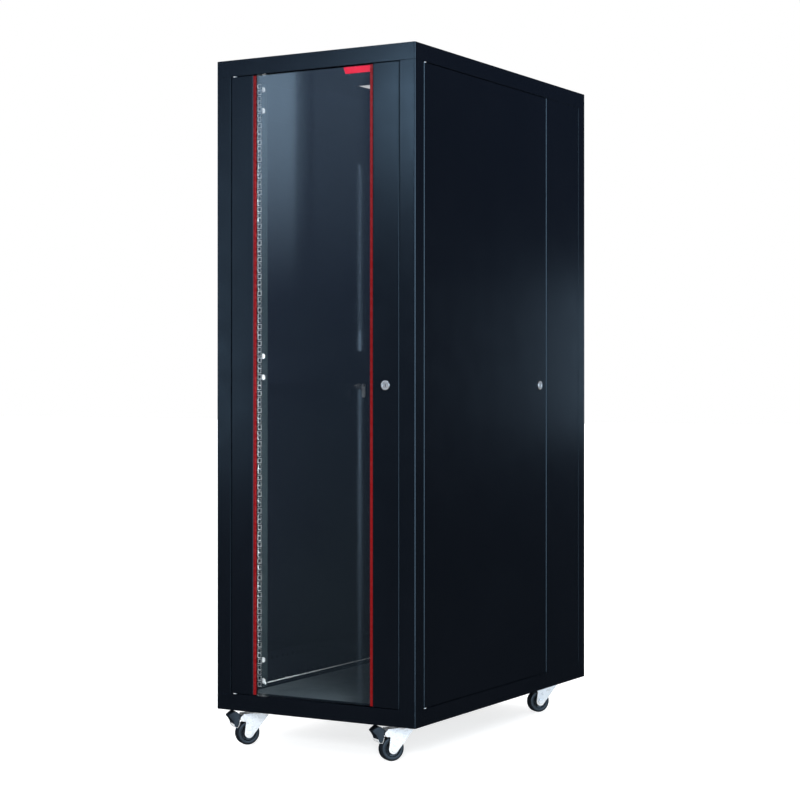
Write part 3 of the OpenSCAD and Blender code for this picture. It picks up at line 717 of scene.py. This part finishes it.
FLOOR_HALF = 40.0
FLOOR_GLOW = 0.72
FLOOR_TONES = (grey(0.60), grey(0.62))
SKY_DIFFUSE = 1.2
SKY_LOW = (0.038, 0.058, 0.084, 1.0)
SKY_HIGH = (0.075, 0.128, 0.26, 1.0)
SKY_RISE = (-0.16, 0.22)
SKY_TURN = (-0.4, 0.5)
SKY_BEHIND = 0.40
WHITE = (1.0, 1.0, 1.0, 1.0)
SUN_STRENGTH = 1.8
SUN_WIDTH = math.radians(12)
SUN_COLOUR = (0.92, 0.97, 1.0)
SUN_FROM = Vector((0.42, -0.84, 0.38))
INSIDE_WATTS = 12.0
INSIDE_SPREAD = 1.95
INSIDE_COLOUR = (0.90, 0.97, 1.0)
INSIDE_SIZE = (0.04, 1.45)
INSIDE_AT = Vector((0.14, -0.462, 0.93))
INSIDE_AIM = Vector((-0.2325, -0.402, 0.93))
COOL = (0.60, 0.87, 1.15)
CARD_SOFT = 0.05


def flat_sheet(name, half_x, half_y):
    """One face in the scene, flat in local x and y about its origin."""
    mesh = bpy.data.meshes.new(name)
    corners = [(-half_x, -half_y, 0), (half_x, -half_y, 0), (half_x, half_y, 0), (-half_x, half_y, 0)]
    mesh.from_pydata(corners, [], [(0, 1, 2, 3)])
    made = bpy.data.objects.new(name, mesh)
    bpy.context.scene.collection.objects.link(made)
    return made


def make_floor():
    """A white floor that takes a soft shadow."""
    floor = flat_sheet("floor", FLOOR_HALF, FLOOR_HALF)
    s = Shader("floor")
    s.put(Roughness=0.9, Emission_Color=grey(1.0), Emission_Strength=FLOOR_GLOW)
    s.feed("Base Color", s.ramp(s.noise(0.6, 2.0), *FLOOR_TONES))
    floor.data.materials.append(s.material)
    floor.visible_glossy = False
    floor.visible_transmission = False


def make_world():
    """White to the eye and to matt surfaces, a cool gradient to glossy ones."""
    world = bpy.data.worlds.new("studio")
    bpy.context.scene.world = world
    world.use_nodes = True
    tree = world.node_tree
    background = tree.nodes["Background"]
    place = tree.nodes.new("ShaderNodeTexCoord")
    split = tree.nodes.new("ShaderNodeSeparateXYZ")
    rise = tree.nodes.new("ShaderNodeMapRange")
    rise.interpolation_type = "SMOOTHSTEP"
    rise.inputs["From Min"].default_value, rise.inputs["From Max"].default_value = SKY_RISE
    ramp = tree.nodes.new("ShaderNodeValToRGB")
    ramp.color_ramp.elements[0].color = SKY_LOW
    ramp.color_ramp.elements[1].color = SKY_HIGH
    front = tree.nodes.new("ShaderNodeMapRange")
    front.interpolation_type = "SMOOTHSTEP"
    front.inputs["From Min"].default_value, front.inputs["From Max"].default_value = SKY_TURN
    front.inputs["To Min"].default_value = 1.0
    front.inputs["To Max"].default_value = SKY_BEHIND
    dim = tree.nodes.new("ShaderNodeVectorMath")
    dim.operation = "SCALE"
    path = tree.nodes.new("ShaderNodeLightPath")
    lit = tree.nodes.new("ShaderNodeMixRGB")
    lit.inputs["Color1"].default_value = grey(SKY_DIFFUSE)
    seen = tree.nodes.new("ShaderNodeMixRGB")
    seen.inputs["Color2"].default_value = WHITE
    tree.links.new(place.outputs["Generated"], split.inputs["Vector"])
    tree.links.new(split.outputs["Z"], rise.inputs["Value"])
    tree.links.new(split.outputs["Y"], front.inputs["Value"])
    tree.links.new(rise.outputs["Result"], ramp.inputs["Fac"])
    tree.links.new(ramp.outputs["Color"], dim.inputs[0])
    tree.links.new(front.outputs["Result"], dim.inputs["Scale"])
    tree.links.new(path.outputs["Is Glossy Ray"], lit.inputs["Fac"])
    tree.links.new(dim.outputs["Vector"], lit.inputs["Color2"])
    tree.links.new(path.outputs["Is Camera Ray"], seen.inputs["Fac"])
    tree.links.new(lit.outputs["Color"], seen.inputs["Color1"])
    tree.links.new(seen.outputs["Color"], background.inputs["Color"])


def make_sun():
    """A broad sun from the front right that only matt surfaces take up."""
    lamp = bpy.data.lights.new("sun", "SUN")
    lamp.energy = SUN_STRENGTH
    lamp.angle = SUN_WIDTH
    lamp.color = SUN_COLOUR
    sun = bpy.data.objects.new("sun", lamp)
    bpy.context.scene.collection.objects.link(sun)
    sun.rotation_euler = SUN_FROM.to_track_quat("Z", "Y").to_euler()
    sun.visible_glossy = False


def make_inside_glow():
    """A strip light between the glass and the rails, so that the rails read through the glass."""
    lamp = bpy.data.lights.new("inside_glow", "AREA")
    lamp.shape = "RECTANGLE"
    lamp.size, lamp.size_y = INSIDE_SIZE
    lamp.spread = INSIDE_SPREAD
    lamp.energy = INSIDE_WATTS
    lamp.color = INSIDE_COLOUR
    strip = bpy.data.objects.new("inside_glow", lamp)
    bpy.context.scene.collection.objects.link(strip)
    strip.location = INSIDE_AT
    aim = INSIDE_AIM - INSIDE_AT
    side = aim.cross(Vector((0, 0, 1))).normalized()
    back = -aim.normalized()
    strip.rotation_euler = Matrix((side, back.cross(side), back)).transposed().to_euler()
    strip.visible_glossy = False
    strip.visible_camera = False


def soft_card(name, centre, aim, size, glow_low, glow_high, soft=CARD_SOFT):
    """A softbox: a glowing sheet that only reflections see, brighter towards its top."""
    half_w, half_h = size[0] / 2, size[1] / 2
    card = flat_sheet(name, half_w, half_h)
    card.location = centre
    card.rotation_euler = (Vector(centre) - Vector(aim)).to_track_quat("Z", "Y").to_euler()
    card.visible_camera = False
    card.visible_shadow = False
    card.visible_diffuse = False
    material = bpy.data.materials.new(name)
    material.use_nodes = True
    tree = material.node_tree
    tree.nodes.clear()
    place = tree.nodes.new("ShaderNodeTexCoord")
    split = tree.nodes.new("ShaderNodeSeparateXYZ")
    fade = tree.nodes.new("ShaderNodeMapRange")
    fade.interpolation_type = "SMOOTHSTEP"
    fade.inputs["From Min"].default_value = -half_h
    fade.inputs["From Max"].default_value = half_h
    fade.inputs["To Min"].default_value = glow_low
    fade.inputs["To Max"].default_value = glow_high
    edge = tree.nodes.new("ShaderNodeMapRange")
    edge.interpolation_type = "SMOOTHSTEP"
    edge.inputs["From Min"].default_value = half_w
    edge.inputs["From Max"].default_value = half_w - min(soft, half_w)
    away = tree.nodes.new("ShaderNodeMath")
    away.operation = "ABSOLUTE"
    level = tree.nodes.new("ShaderNodeMath")
    level.operation = "MULTIPLY"
    glow = tree.nodes.new("ShaderNodeEmission")
    glow.inputs["Color"].default_value = (*COOL, 1.0)
    clear = tree.nodes.new("ShaderNodeBsdfTransparent")
    both = tree.nodes.new("ShaderNodeAddShader")
    sheet = tree.nodes.new("ShaderNodeOutputMaterial")
    tree.links.new(place.outputs["Object"], split.inputs["Vector"])
    tree.links.new(split.outputs["Y"], fade.inputs["Value"])
    tree.links.new(split.outputs["X"], away.inputs[0])
    tree.links.new(away.outputs["Value"], edge.inputs["Value"])
    tree.links.new(fade.outputs["Result"], level.inputs[0])
    tree.links.new(edge.outputs["Result"], level.inputs[1])
    tree.links.new(level.outputs["Value"], glow.inputs["Strength"])
    tree.links.new(glow.outputs["Emission"], both.inputs[0])
    tree.links.new(clear.outputs["BSDF"], both.inputs[1])
    tree.links.new(both.outputs["Shader"], sheet.inputs["Surface"])
    card.data.materials.append(material)


WALL_Y = -4.0


def front_card(name, x_low, x_high, z_low, z_high, glow_low, glow_high, soft=CARD_SOFT):
    """A softbox in the wall of cards in front of the cabinet, square to it."""
    centre = ((x_low + x_high) / 2, WALL_Y, (z_low + z_high) / 2)
    aim = (centre[0], 0.0, centre[2])
    soft_card(name, centre, aim, (x_high - x_low, z_high - z_low), glow_low, glow_high, soft)


def make_studio():
    """World, floor, lights and the cards that give the photo's highlights."""
    make_world()
    make_floor()
    front_card("card_glass", -2.74, -2.26, 1.30, 2.45, 0.0, 1.42, 0.15)
    front_card("card_glass_right", -2.36, -1.90, 1.20, 2.45, 0.0, 0.26, 0.12)
    front_card("card_post", -3.20, -2.66, 0.60, 2.10, 2.9, 1.6)
    front_card("card_stile", -1.82, -0.90, 1.98, 2.42, 6.0, 13.0)
    front_card("card_streak", -2.014, -1.992, 1.11, 1.98, 1.9, 2.1)
    front_card("card_streak_low", -2.014, -1.992, -0.60, 0.93, 0.2, 1.1)
    make_sun()
    make_inside_glow()
    front_card("card_badge", -2.08, -1.95, 2.420, 2.430, 12.0, 12.0)
    soft_card("card_side", (1.80, 4.4, 1.10), (0.3, 0.45, 1.0), (0.5, 0.8), 1.35, 1.15)
    soft_card("card_back", (-1.3, 4.8, 1.7), (-0.1, 0.5, 1.1), (1.3, 1.7), 0.5, 2.2)
    soft_card("card_left", (-4.6, 1.2, 1.7), (-0.3, 0.1, 1.1), (1.4, 1.7), 0.5, 2.2)
    soft_card("card_edges", (4.3, -1.9, 1.2), (0.0, 0.0, 1.2), (6.0, 3.6), 3.4, 5.5)


make_camera()
paint_frame()
add_details()
make_studio()
bpy.context.scene.view_settings.view_transform = "Standard"
